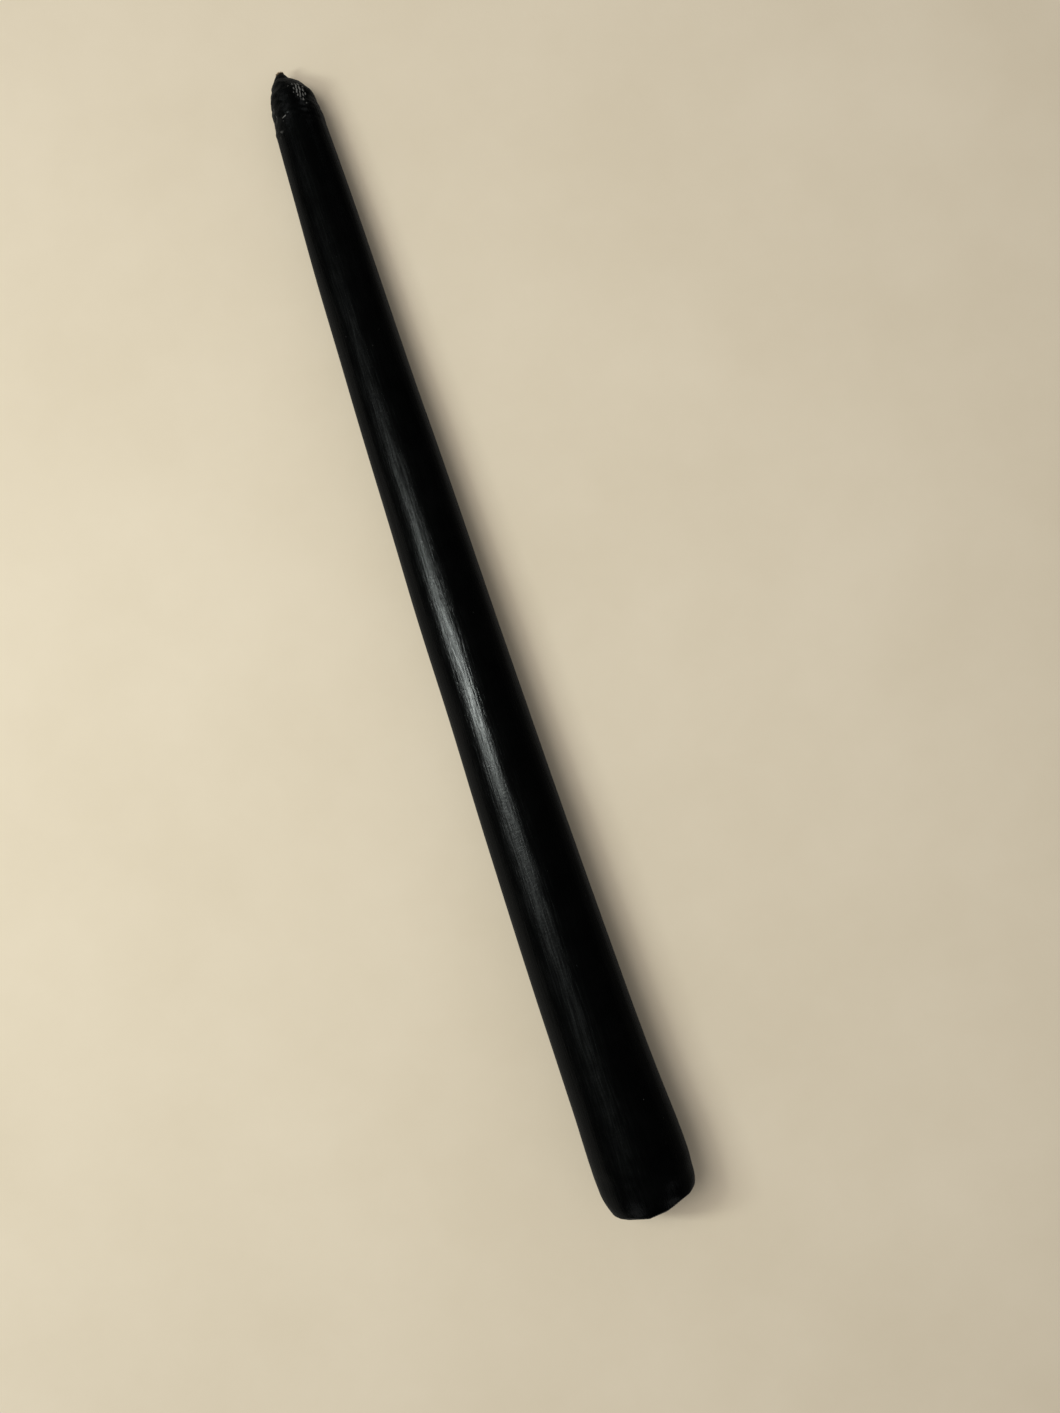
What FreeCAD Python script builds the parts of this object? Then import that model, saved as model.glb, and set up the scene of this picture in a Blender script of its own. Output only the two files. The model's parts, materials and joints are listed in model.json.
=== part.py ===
import FreeCAD, Part
import math
import os
import Sketcher

from FreeCAD import Placement, Rotation, Vector

# A dipped black taper candle, 272 mm long, lying on its side.
#
# The candle is drawn upright: the cut butt is at height 0 and the wick points up.
# Every piece then gets one shared Placement that lays the candle down, with the
# tip towards +Y and the lowest line of its tapered side on the table, Z = 0.

os.makedirs("parts", exist_ok=True)
doc = FreeCAD.newDocument("taper_candle")

# ---------------------------------------------------------------- dimensions, mm
DIMENSIONS = {
    "candle_length": 272.0,      # cut butt to the end of the wick
    "bow": 1.1,                  # how far the middle hangs out of line, towards -X
    "rest_flat_depth": 0.2,      # worn off the underside where the candle has lain
    # butt: a worn cut edge, a rounded end, then the cylinder that sits in a 7/8 in cup
    "rim_radius": 9.0,
    "rim_rounding": 3.66,
    "edge_radius": 10.3,
    "edge_height": 2.0,
    "butt_rounding": 26.8,
    "butt_radius": 11.1,
    "seat_start": 8.5,
    "seat_end": 20.0,
    # nose: a long shoulder arc, a tight crown arc, then a cone round the wick
    "shoulder_radius": 6.5,
    "shoulder_height": 244.0,
    "shoulder_rounding": 300.0,
    "crown_radius": 5.4,
    "crown_height": 264.4,
    "crown_rounding": 13.5,
    "knuckle_radius": 3.3,
    "knuckle_height": 268.9,
    "nub_radius": 1.5,
    "nub_height": 271.0,
    # layers of wax
    "overdip_thickness": 0.6,
    "core_nub_radius": 2.0,
    "core_nub_height": 269.4,
    "priming_radius": 1.6,
    "wick_bore_radius": 1.1,
    # flat-braided wick
    "plait_radius": 0.29,
    "braid_half_width": 0.7,
    "braid_half_depth": 0.42,
    "braid_pitch": 8.0,
}
PLAITS = 3
RUNS_PER_PITCH = 12          # straight runs in one zigzag of a plait
ARC_SHARE_OF_RUN = 0.45      # part of a run that the arc at each of its ends takes
BODY_SPANS = 6               # stretches of tapered body, with a round station at each end
OVERRUN = 4.0                # how far a form runs past the piece that it shapes
CROWN_SINK = 0.1             # how far the core's crown is below the coat's, in overdips
KNUCKLE_SINK = 0.65          # the same for the knuckle under the nub
KNUCKLE_INSET = 0.75         # how far the core's knuckle is inside the coat's, in overdips
TABLE_BREADTH = 4            # the table that the underside is worn to, in butt radii
TABLE_REACH = 2              # its length, in candle lengths

sheet = doc.addObject("Spreadsheet::Sheet", "dims")
for row, (alias, value) in enumerate(DIMENSIONS.items(), start=1):
    sheet.set(f"A{row}", alias)
    sheet.set(f"B{row}", str(value))
    sheet.setAlias(f"B{row}", alias)
doc.recompute()


def size(alias):
    """A dimension's value, read from the sheet."""
    return float(getattr(sheet, alias))


class Measure:
    """A dimension, less a share of the overdip: its value now and its formula."""

    def __init__(self, alias, inset=0.0):
        self.value = size(alias) - inset * size("overdip_thickness")
        self.formula = f"dims.{alias} - {inset} * dims.overdip_thickness"


# ---------------------------------------------------------------- sketches and bodies
def new_sketch(body, name, plane_role):
    """An empty sketch on one of the body's own origin planes."""
    plane = next(item for item in body.Origin.OriginFeatures if item.Role == plane_role)
    sketch = body.newObject("Sketcher::SketchObject", name)
    sketch.AttachmentSupport = [(plane, "")]
    sketch.MapMode = "FlatFace"
    return sketch


def drive(sketch, kind, *where, formula, value):
    """Add a dimension to a sketch and bind it to a formula on the sheet."""
    index = sketch.addConstraint(Sketcher.Constraint(kind, *where, value))
    name = f"{kind}_{index}"
    sketch.renameConstraint(index, name)
    sketch.setExpression(f"Constraints.{name}", formula)


def draw_circle(sketch, radius, formula, centre=0.0, centre_formula=None):
    """A circle on the sketch's X axis, at its origin unless a centre is given."""
    edge = sketch.addGeometry(Part.Circle(Vector(centre, 0, 0), Vector(0, 0, 1), radius))
    if centre_formula is None:
        sketch.addConstraint(Sketcher.Constraint("Coincident", edge, 3, -1, 1))
    else:
        sketch.addConstraint(Sketcher.Constraint("PointOnObject", edge, 3, -1))
        drive(sketch, "DistanceX", -1, 1, edge, 3, formula=centre_formula, value=centre)
    drive(sketch, "Radius", edge, formula=formula, value=radius)


def bulging_arc(start, end, radius):
    """The arc of that radius from start up to end, bulging away from the axis."""
    chord = end - start
    middle = (start + end) * 0.5
    outward = Vector(chord.y, -chord.x, 0).normalize()
    half_chord = chord.Length / 2
    rise = radius - math.sqrt(radius**2 - half_chord**2)
    return Part.Arc(start, middle + outward * rise, end)


def draw_turned_outline(sketch, corners, roundings):
    """Half of a turned shape: corners from the bottom up, closed along the axis.

    corners are (radius, height) pairs of Measures, or None for height zero, and
    roundings maps the number of an edge to the Measure of its arc's radius.
    """
    points = [Vector(across.value, up.value if up else 0.0, 0) for across, up in corners]
    foot = Vector(0, points[0].y, 0)
    top = Vector(0, points[-1].y, 0)
    shapes = [Part.LineSegment(foot, points[0])]
    for number, (start, end) in enumerate(zip(points, points[1:])):
        if number in roundings:
            shapes.append(bulging_arc(start, end, roundings[number].value))
        else:
            shapes.append(Part.LineSegment(start, end))
    shapes.append(Part.LineSegment(points[-1], top))
    shapes.append(Part.LineSegment(top, foot))
    edges = [sketch.addGeometry(shape) for shape in shapes]

    for edge, following in zip(edges, edges[1:] + edges[:1]):
        sketch.addConstraint(Sketcher.Constraint("Coincident", edge, 2, following, 1))
    sketch.addConstraint(Sketcher.Constraint("PointOnObject", edges[0], 1, -2))
    sketch.addConstraint(Sketcher.Constraint("PointOnObject", edges[-1], 1, -2))
    sketch.addConstraint(Sketcher.Constraint("Horizontal", edges[0]))
    sketch.addConstraint(Sketcher.Constraint("Horizontal", edges[-2]))
    for edge, (across, up) in zip(edges, corners):
        drive(sketch, "DistanceX", -1, 1, edge, 2, formula=across.formula, value=across.value)
        if up:
            drive(sketch, "DistanceY", -1, 1, edge, 2, formula=up.formula, value=up.value)
        else:
            sketch.addConstraint(Sketcher.Constraint("PointOnObject", edge, 2, -1))
    for number, rounding in roundings.items():
        edge = edges[number + 1]
        drive(sketch, "Radius", edge, formula=rounding.formula, value=rounding.value)


def revolve(body, name, sketch):
    turned = body.newObject("PartDesign::Revolution", name)
    turned.Profile = (sketch, [""])
    turned.ReferenceAxis = (sketch, ["V_Axis"])
    turned.Angle = 360.0


# ---------------------------------------------------------------- forms
def butt_corners(inset):
    """Butt corners, moved in towards the axis by the inset."""
    return [
        (Measure("rim_radius", inset), None),
        (Measure("edge_radius", inset), Measure("edge_height")),
        (Measure("butt_radius", inset), Measure("seat_start")),
        (Measure("butt_radius", inset), Measure("seat_end")),
    ]


def nose_corners(inset, nub):
    """Nose corners, moved in and down along the wax by the inset."""
    return [
        (Measure("shoulder_radius", inset), Measure("shoulder_height")),
        (Measure("crown_radius", inset), Measure("crown_height", CROWN_SINK * inset)),
        (Measure("knuckle_radius", KNUCKLE_INSET * inset),
         Measure("knuckle_height", KNUCKLE_SINK * inset)),
        nub,
    ]


def add_tapered_body(body, inset):
    """The long taper, lofted through round stations whose centres follow the bow."""
    stations = []
    for station in range(BODY_SPANS + 1):
        along = station / BODY_SPANS
        bulge = 1 - (2 * along - 1) ** 2
        sketch = new_sketch(body, f"{body.Name}_station_{station}", "XY_Plane")
        sketch.setExpression(
            "AttachmentOffset.Base.z",
            f"dims.seat_end + (dims.shoulder_height - dims.seat_end) * {along}",
        )
        butt = Measure("butt_radius", inset)
        shoulder = Measure("shoulder_radius", inset)
        radius = butt.value + (shoulder.value - butt.value) * along
        formula = f"({butt.formula}) * {1 - along} + ({shoulder.formula}) * {along}"
        if bulge > 0:
            draw_circle(sketch, radius, formula, -bulge * size("bow"), f"-{bulge} * dims.bow")
        else:
            draw_circle(sketch, radius, formula)
        stations.append(sketch)
    loft = body.newObject("PartDesign::AdditiveLoft", f"{body.Name}_taper")
    loft.Profile = stations[0]
    loft.Sections = stations[1:]
    loft.Ruled = False


def make_wax_form(name, inset, nub):
    """A solid candle shape: turned butt, bowed taper and turned nose."""
    body = doc.addObject("PartDesign::Body", name)
    butt = new_sketch(body, f"{name}_butt_outline", "XZ_Plane")
    butt_roundings = {0: Measure("rim_rounding", inset), 1: Measure("butt_rounding", inset)}
    draw_turned_outline(butt, butt_corners(inset), butt_roundings)
    revolve(body, f"{name}_butt", butt)
    add_tapered_body(body, inset)
    nose = new_sketch(body, f"{name}_nose_outline", "XZ_Plane")
    nose_roundings = {0: Measure("shoulder_rounding", inset), 1: Measure("crown_rounding", inset)}
    draw_turned_outline(nose, nose_corners(inset, nub), nose_roundings)
    revolve(body, f"{name}_nose", nose)
    return body


def make_wick_form(name, *radius_aliases):
    """A rod, or a tube if two radii are given, that follows the candle's bow."""
    body = doc.addObject("PartDesign::Body", name)
    length = size("candle_length")
    half_chord = length / 2 + OVERRUN
    radius = (half_chord**2 + size("bow") ** 2) / (2 * size("bow"))
    spine = new_sketch(body, f"{name}_spine", "XZ_Plane")
    foot = Vector(0, -OVERRUN, 0)
    middle = Vector(-size("bow"), length / 2, 0)
    top = Vector(0, length + OVERRUN, 0)
    edge = spine.addGeometry(Part.Arc(foot, middle, top))
    spine.addConstraint(Sketcher.Constraint("PointOnObject", edge, 1, -2))
    spine.addConstraint(Sketcher.Constraint("PointOnObject", edge, 2, -2))
    spine.addConstraint(Sketcher.Constraint("DistanceY", edge, 2, -1, 1, OVERRUN))
    drive(spine, "DistanceY", -1, 1, edge, 1, value=length + OVERRUN,
          formula=f"dims.candle_length + {OVERRUN}")
    drive(spine, "Radius", edge, value=radius,
          formula=f"((dims.candle_length / 2 + {OVERRUN})^2 + dims.bow^2) / (2 * dims.bow)")
    section = new_sketch(body, f"{name}_section", "XY_Plane")
    section.AttachmentOffset = Placement(Vector(0, 0, -OVERRUN), Rotation())
    for alias in radius_aliases:
        draw_circle(section, size(alias), f"dims.{alias}")
    pipe = body.newObject("PartDesign::AdditivePipe", f"{name}_pipe")
    pipe.Profile = section
    pipe.Spine = (spine, [])
    return body


def boolean(kind, name, base, tool):
    """A Part boolean, such as Part::Cut or Part::Common, of two earlier shapes."""
    result = doc.addObject(kind, name)
    result.Base = base
    result.Tool = tool
    return result


# ---------------------------------------------------------------- wick
def plait_points(number):
    """Corners of one plait's zigzag: across in Y once a pitch, over and under in X twice."""
    step = size("braid_pitch") / RUNS_PER_PITCH
    last = math.ceil(size("candle_length") / step) + 1
    points = []
    for corner in range(-1, last + 1):
        height = corner * step
        phase = math.tau * (corner / RUNS_PER_PITCH + number / PLAITS)
        off_middle = 2 * height / size("candle_length") - 1
        centre = -size("bow") * (1 - off_middle**2)
        across = size("braid_half_width") * math.cos(phase)
        depth = size("braid_half_depth") * math.sin(2 * phase)
        points.append(Vector(centre + depth, across, height))
    return points


def rounded_wire(points):
    """Straight runs joined by tangent arcs."""
    edges = []
    start = points[0]
    for before, corner, after in zip(points, points[1:], points[2:]):
        back = before - corner
        onward = after - corner
        reach = ARC_SHARE_OF_RUN * min(back.Length, onward.Length)
        half_turn = (math.pi - back.getAngle(onward)) / 2
        radius = reach / math.tan(half_turn)
        inside = (back.normalize() + onward.normalize()).normalize()
        crown = corner + inside * (radius / math.cos(half_turn) - radius)
        arc_start = corner + back * reach
        arc_end = corner + onward * reach
        edges.append(Part.LineSegment(start, arc_start).toShape())
        edges.append(Part.Arc(arc_start, crown, arc_end).toShape())
        start = arc_end
    edges.append(Part.LineSegment(start, points[-1]).toShape())
    return Part.Wire(edges)


def make_plait(number):
    """One plait of cotton yarn, cut off level at the butt and at the wick's end."""
    wire = rounded_wire(plait_points(number))
    first_run = wire.Edges[0]
    section = Part.Circle(first_run.firstVertex().Point, first_run.tangentAt(0),
                          size("plait_radius"))
    strand = wire.makePipeShell([Part.Wire(section.toShape())], True, False)
    swept = math.pi * size("plait_radius") ** 2 * wire.Length
    print(f"plait {number}: volume {strand.Volume:.2f}, section times length {swept:.2f}")
    keep = Part.makeCylinder(size("butt_radius"), size("candle_length"))
    plait = doc.addObject("Part::Feature", f"wick_plait_{number}")
    plait.Shape = strand.common(keep).Solids[0]
    return plait


# ---------------------------------------------------------------- the candle's pieces
coat_nub = (Measure("nub_radius"), Measure("nub_height"))
core_nub = (Measure("core_nub_radius"), Measure("core_nub_height"))
coat_form = make_wax_form("coat_form", 0.0, coat_nub)
core_form = make_wax_form("core_form", 1.0, core_nub)
sheath_form = make_wick_form("sheath_form", "priming_radius", "wick_bore_radius")
channel_form = make_wick_form("channel_form", "priming_radius")

wick_hole = doc.addObject("Part::Cylinder", "wick_hole")
wick_hole.setExpression("Radius", "dims.wick_bore_radius")
wick_hole.setExpression("Height", f"dims.nub_height - dims.core_nub_height + {2 * OVERRUN}")
wick_hole.setExpression("Placement.Base.z", f"dims.core_nub_height - {OVERRUN}")
dipped_shell = boolean("Part::Cut", "dipped_shell", coat_form, core_form)
open_shell = boolean("Part::Cut", "open_shell", dipped_shell, wick_hole)

# The candle lies with the lowest line of its taper on the table, sunk by its worn flat.
taper_length = size("shoulder_height") - size("seat_end")
taper_angle = math.atan((size("butt_radius") - size("shoulder_radius")) / taper_length)
axis_height = (size("butt_radius") * math.cos(taper_angle)
               + size("seat_end") * math.sin(taper_angle))
laid_down = Placement(
    Vector(0, -size("candle_length") / 2 * math.cos(taper_angle),
           axis_height - size("rest_flat_depth")),
    Rotation(Vector(1, 0, 0), -90 - math.degrees(taper_angle)),
)
table = doc.addObject("Part::Box", "table")
table.setExpression("Length", f"{TABLE_BREADTH} * dims.butt_radius")
table.setExpression("Width", f"{TABLE_REACH} * dims.candle_length")
table.setExpression("Height", "dims.butt_radius")
table_corner = Vector(
    -TABLE_BREADTH / 2 * size("butt_radius"),
    -TABLE_REACH / 2 * size("candle_length"),
    -size("butt_radius"),
)
table.Placement = laid_down.inverse().multiply(Placement(table_corner, Rotation()))

pieces = {
    "overdip_coat": boolean("Part::Cut", "overdip_coat", open_shell, table),
    "body_wax": boolean("Part::Cut", "body_wax", core_form, channel_form),
    "priming_wax": boolean("Part::Common", "priming_wax", core_form, sheath_form),
}
for number in range(1, PLAITS + 1):
    pieces[f"wick_plait_{number}"] = make_plait(number)

# ---------------------------------------------------------------- laying the pieces down
for node, piece in pieces.items():
    piece.Label = node
    piece.Placement = laid_down
doc.recompute()

# ---------------------------------------------------------------- checks and files
for item in doc.Objects:
    if "Invalid" in item.State or "Error" in item.State:
        raise RuntimeError(f"{item.Name} failed: {item.State}")
for node, piece in pieces.items():
    shape = piece.Shape
    if shape.isNull() or not shape.isValid() or len(shape.Solids) != 1:
        raise RuntimeError(f"{node} isn't one valid solid")
    shape.exportStep(f"parts/{node}.step")
    box = shape.optimalBoundingBox(False, False)
    print(f"{node}: {shape.Volume:.1f} mm3, X {box.XMin:.2f} {box.XMax:.2f}, "
          f"Y {box.YMin:.2f} {box.YMax:.2f}, Z {box.ZMin:.2f} {box.ZMax:.2f}")
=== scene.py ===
import bpy
import json
import math
import numpy as np
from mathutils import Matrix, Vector


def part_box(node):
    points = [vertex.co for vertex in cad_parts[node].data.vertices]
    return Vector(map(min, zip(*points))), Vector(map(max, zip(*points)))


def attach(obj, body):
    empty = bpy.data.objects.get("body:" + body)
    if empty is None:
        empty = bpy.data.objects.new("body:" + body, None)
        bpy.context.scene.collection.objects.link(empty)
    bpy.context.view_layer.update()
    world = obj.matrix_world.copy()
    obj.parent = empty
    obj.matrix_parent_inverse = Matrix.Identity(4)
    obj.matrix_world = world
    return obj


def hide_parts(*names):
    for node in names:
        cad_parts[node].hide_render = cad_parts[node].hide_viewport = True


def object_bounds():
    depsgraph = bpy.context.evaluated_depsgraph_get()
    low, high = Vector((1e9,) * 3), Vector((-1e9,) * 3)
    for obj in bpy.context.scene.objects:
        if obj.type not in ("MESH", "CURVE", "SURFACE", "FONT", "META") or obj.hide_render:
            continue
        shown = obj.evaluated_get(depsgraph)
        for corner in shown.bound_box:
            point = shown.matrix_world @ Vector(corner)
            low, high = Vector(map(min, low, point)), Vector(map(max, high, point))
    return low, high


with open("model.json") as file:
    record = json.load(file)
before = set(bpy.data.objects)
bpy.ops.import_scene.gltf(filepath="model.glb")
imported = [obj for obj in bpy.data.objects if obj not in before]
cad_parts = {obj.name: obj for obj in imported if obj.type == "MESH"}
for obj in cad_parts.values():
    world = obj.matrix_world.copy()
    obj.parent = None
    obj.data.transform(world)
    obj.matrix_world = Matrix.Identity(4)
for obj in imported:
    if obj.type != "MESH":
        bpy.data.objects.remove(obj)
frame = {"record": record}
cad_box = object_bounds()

# A black dipped taper candle with a trimmed wick, lying on its side on a pale table.
#
# Lengths are in millimetres while a piece is shaped, and become metres in its mesh.
# A place on the candle is given by its depth below the wick's end, and by an angle
# round the candle: 0 faces +X, 90 degrees faces up and 180 faces -X.

MM = 0.001
MOUNTS = {mount["name"]: mount for mount in frame["record"]["mounts"]}

# ---------------------------------------------------------------- the candle's own frame
SIDE = Vector((1, 0, 0))
AXIS = -Vector(MOUNTS["butt"]["axis"])
UP = SIDE.cross(AXIS)
SEAT = Vector(MOUNTS["butt"]["pos_m"])
BUTT_CENTRE = SEAT - AXIS * (SEAT - Vector(MOUNTS["butt_end"]["pos_m"])).dot(AXIS)
WICK_END = max(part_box(f"wick_plait_{number}")[1].y for number in (1, 2, 3))
LENGTH = (WICK_END - BUTT_CENTRE.y) / AXIS.y / MM

# ---------------------------------------------------------------- the candle's shape, mm
# Radius at each depth below the wick's end, from the top of the nub to the rim.
OUTLINE = (
    (0.4, 0.95), (0.9, 1.35), (1.85, 2.0), (2.4, 2.62), (3.2, 3.32), (3.8, 3.7), (4.6, 4.15),
    (5.5, 4.62), (6.9, 5.13), (8.3, 5.42), (11.5, 5.78), (14.0, 5.92), (27.6, 6.42), (82.0, 7.74),
    (137.0, 8.79), (165.0, 9.18), (192.0, 9.73), (246.5, 10.72), (255.5, 11.06), (260.5, 11.18),
    (265.0, 10.98), (269.0, 10.4), (271.0, 9.8),
)
# How far the middle of the candle is off its axis, towards +X, at each depth.
BOW_LINE = (
    (0.0, -0.98), (1.8, -1.06), (2.4, -0.92), (3.2, -0.62), (3.8, -0.4), (4.6, -0.27), (6.9, -0.1),
    (9.0, -0.05), (13.8, -0.22), (55.0, -0.63), (82.0, -0.95), (165.0, -1.04), (192.0, -0.96),
    (219.0, -0.7), (237.0, -0.34), (255.5, 0.08), (272.0, 0.25),
)
RIM_DEPTH = LENGTH - OUTLINE[-1][0]
RIM_ROUNDING = 1.05          # how far the worn rim turns in before the cut face
COAT_THICKNESS = 0.6
SHEATH_RADIUS = 1.6
WICK_BORE = 1.12
BUTT_PLUG = 2.5              # how deep wax fills the wick's hole at the butt
CORE_TOP = 2.6               # depth of the core's and the wick sheath's top
NUB_DOME = 0.2               # how far wax has crept up the wick above the nub's edge
CORE_GAP = 0.01              # gap between the core and the coat round it
SHEATH_GAP = 0.02            # gap between the wick's sheath and the core round it
DIP_SPACING = 0.8            # from one dip's ring to the next, on the cut face

# ---------------------------------------------------------------- how fine the meshes are
AROUND = 160                 # points in each ring of the coat and core
SHEATH_AROUND = 48
NOSE_DETAIL = 14.5           # the coat's rings are closer together above this depth,
BUTT_DETAIL = 17             # and within this distance of the butt
NOSE_STEP, BODY_STEP, BUTT_STEP = 0.14, 0.92, 0.2
SHARP_DEGREES = 50           # an edge that turns more than this is shaded sharp

# ---------------------------------------------------------------- the wick, mm
PLAIT_SWING = 0.7            # how far a plait swings to each side of the braid
PLAIT_DIVE = 0.42            # how far it passes over and under the other two
PLAIT_PITCH = 8.0
YARNS = 4                    # yarns twisted into one plait
YARN_RADIUS = 0.13
YARN_OFFSET = 0.16
YARN_LAY = 3.2               # length of one turn of the yarns
YARN_UNEVENNESS = 0.05
PLAIT_TOPS = (0.02, 0.22, 0.1)   # depth at which each plait was cut off
PLAIT_POINTS = 690
FRAY_RADIUS = 0.72           # the small dome that the loose fibres stand on
FIBRE_LENGTH = 0.48
FIBRE_RADIUS = 0.03
FIBRES_PER_SQUARE_METRE = 2.6e8
FIBRE_SPREAD = 0.85

# ---------------------------------------------------------------- colours
WAX_BLACK = (0.0006, 0.0007, 0.0007, 1)
WAX_HAZED = (0.0012, 0.0013, 0.0013, 1)
# Real scuffs and painted highlight: this pale grey marks the scuffs and also the painted
# highlights on the nose.
WAX_WORN = (0.008, 0.009, 0.0095, 1)
WAX_SCUFF_AND_HIGHLIGHT = (0.17, 0.168, 0.16, 1)
DUST = (0.10, 0.10, 0.095, 1)
CORE_BLACK = (0.0045, 0.0045, 0.0047, 1)
CORE_RING = (0.014, 0.014, 0.0145, 1)
CORE_HAZED = (0.011, 0.011, 0.0115, 1)
WAX_CRUMB = (0.07, 0.07, 0.068, 1)
PRIMED_WAX_DEEP = (0.50, 0.45, 0.34, 1)
PRIMED_WAX_PALE = (0.70, 0.66, 0.56, 1)
BLACK_SMEAR = (0.06, 0.055, 0.05, 1)
COTTON_SHADE = (0.20, 0.16, 0.10, 1)
COTTON_CREAM = (0.52, 0.46, 0.34, 1)
WAXED_YARN = (0.0035, 0.0033, 0.003, 1)
WAXED_FIBRE = (0.022, 0.019, 0.015, 1)
FRAYED_TAN = (0.52, 0.39, 0.25, 1)
CARD_DEEP = (0.70, 0.61, 0.47, 1)
CARD_PALE = (0.74, 0.65, 0.51, 1)
# Painted shade: the card as the wax mirrors it, far darker than the card, and darker still towards
# +X.
CARD_REFLECTED_SHADE_NEAR = (0.11, 0.107, 0.1, 1)
CARD_REFLECTED_SHADE_FAR = (0.03, 0.029, 0.027, 1)

# ---------------------------------------------------------------- table, lights and view, m
TABLE_HALF = 4.0
CARD_SHADE_FROM, CARD_SHADE_TO = 14.0, 34.0   # mm towards +X, in the wax's mirror image of it
KEY_PLACE = (-0.226, 0.031, 0.36)
KEY_SIZE = (0.045, 0.14)
KEY_POWER = 0.60             # watts, as are the other lights' powers
KEY_COLOUR = (0.93, 1.0, 0.95)
PANEL_ACROSS, PANEL_ALONG, PANEL_HEIGHT = 0.58, 0.80, 0.42
PANEL_SIZE = (0.4, 0.4)
PANEL_POWER = 0.12
PANEL_COLOUR = (0.97, 0.99, 1.0)
FILL_PLACE = (-0.3, 0.15, 0.9)
FILL_SIZE = (0.4, 0.4)
FILL_POWER = 4.2
FILL_COLOUR = (1.0, 0.98, 0.94)
CANDLE_MIDDLE = (0, 0, 0.01)
ROOM_COLOUR = (1.0, 0.98, 0.95, 1)
ROOM_STRENGTH = 0.3
LENS = 43.76                 # mm
FILM_HEIGHT = 36.0           # mm
CAMERA_PLACE = (0.0085, -0.0199, 0.40)
CAMERA_TURN = -18.13         # degrees


# ---------------------------------------------------------------- curves and ripples
def smooth_line(points):
    """A smooth line through (depth, value) points that never overshoots them."""
    depth, value = np.array(points, float).T
    gap = np.diff(depth)
    slope = np.diff(value) / gap
    tangent = np.concatenate(([slope[0]], np.zeros(len(depth) - 2), [slope[-1]]))
    same_way = slope[:-1] * slope[1:] > 0
    before, after = gap[:-1], gap[1:]
    weight_1, weight_2 = 2 * after + before, after + 2 * before
    safe = np.where(same_way, slope[:-1] * slope[1:], 1.0)
    shared = weight_1 * slope[1:] + weight_2 * slope[:-1] + 1e-12
    mean = (weight_1 + weight_2) * safe / shared
    tangent[1:-1] = np.where(same_way, mean, 0.0)

    def at(where):
        where = np.clip(np.asarray(where, float), depth[0], depth[-1])
        span = np.clip(np.searchsorted(depth, where) - 1, 0, len(gap) - 1)
        t = (where - depth[span]) / gap[span]
        rise = 3 * t**2 - 2 * t**3
        leave = tangent[span] * t * (1 - t) ** 2
        arrive = tangent[span + 1] * t**2 * (1 - t)
        bend = gap[span] * (leave - arrive)
        return value[span] * (1 - rise) + value[span + 1] * rise + bend

    return at


def fade(value, start, end):
    """0 where value is at start, 1 where it is at end, smooth between them."""
    t = np.clip((value - start) / (end - start), 0, 1)
    return t * t * (3 - 2 * t)


def ripples(depth, angle, length, most_lobes, seed, fewest_lobes=0, waves=14):
    """Uneven waves that close round the candle, about 1 high, at random but fixed phases."""
    rng = np.random.default_rng(seed)
    total = 0.0
    for _ in range(waves):
        lobes = rng.integers(fewest_lobes, most_lobes + 1)
        turns = depth / (length * rng.uniform(0.6, 1.7)) * rng.choice((-1, 1))
        total = total + np.sin(math.tau * turns + lobes * angle + rng.uniform(0, math.tau))
    return total / math.sqrt(waves / 2)


def angle_between(angle, target_degrees):
    """The signed angle from target to angle, in radians, at most half a turn."""
    return (angle - math.radians(target_degrees) + math.pi) % math.tau - math.pi


outline = smooth_line(OUTLINE)
bow_line = smooth_line(BOW_LINE)


# ---------------------------------------------------------------- meshes
def to_world(across, up, depth):
    """Points in metres from places in the candle's own frame."""
    along = (LENGTH - depth) * MM
    points = (across * MM)[..., None] * np.array(SIDE)
    points = points + (up * MM)[..., None] * np.array(UP) + along[..., None] * np.array(AXIS)
    return points + np.array(BUTT_CENTRE)


def pole_at(depth, bow_depth):
    """A single point in the middle of the candle, off its axis by the bow at bow_depth."""
    return to_world(*np.array([bow_line(bow_depth), 0.0, depth]))


def ring_angles(count=AROUND):
    """Evenly spaced angles round the candle, as one row."""
    return np.linspace(0, math.tau, count, endpoint=False)[None, :]


def rings_to_mesh(name, rings, poles=(), closed=False):
    """A mesh through rings of points, which go down the outside from the wick's end.
    poles closes its first and last ring, and closed joins the last ring to the first."""
    count, around, _ = rings.shape
    points = [tuple(point) for point in rings.reshape(-1, 3)]
    faces = []
    for ring in range(count if closed else count - 1):
        low = ring * around
        high = (ring + 1) % count * around
        for spot in range(around):
            following = (spot + 1) % around
            faces.append((low + spot, low + following, high + following, high + spot))
    for pole, ring in zip(poles, (0, count - 1)):
        points.append(tuple(pole))
        centre = len(points) - 1
        for spot in range(around):
            edge = (ring * around + spot, ring * around + (spot + 1) % around)
            faces.append((centre, *reversed(edge)) if ring == 0 else (centre, *edge))
    mesh = bpy.data.meshes.new(name)
    mesh.from_pydata(points, [], faces)
    mesh.validate()
    return mesh


def add_piece(name, mesh, material):
    """A finished piece at the origin, smooth apart from its sharp edges."""
    mesh.shade_smooth()
    mesh.set_sharp_from_angle(angle=math.radians(SHARP_DEGREES))
    if not mesh.materials:
        mesh.materials.append(material)
    piece = bpy.data.objects.new(name, mesh)
    bpy.context.scene.collection.objects.link(piece)
    return piece


def paint(mesh, name, values):
    """Store one number for each point, for the material to read."""
    attribute = mesh.attributes.new(name, "FLOAT", "POINT")
    padded = np.zeros(len(mesh.vertices), np.float32)
    padded[: values.size] = values.ravel()
    attribute.data.foreach_set("value", padded)


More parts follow.
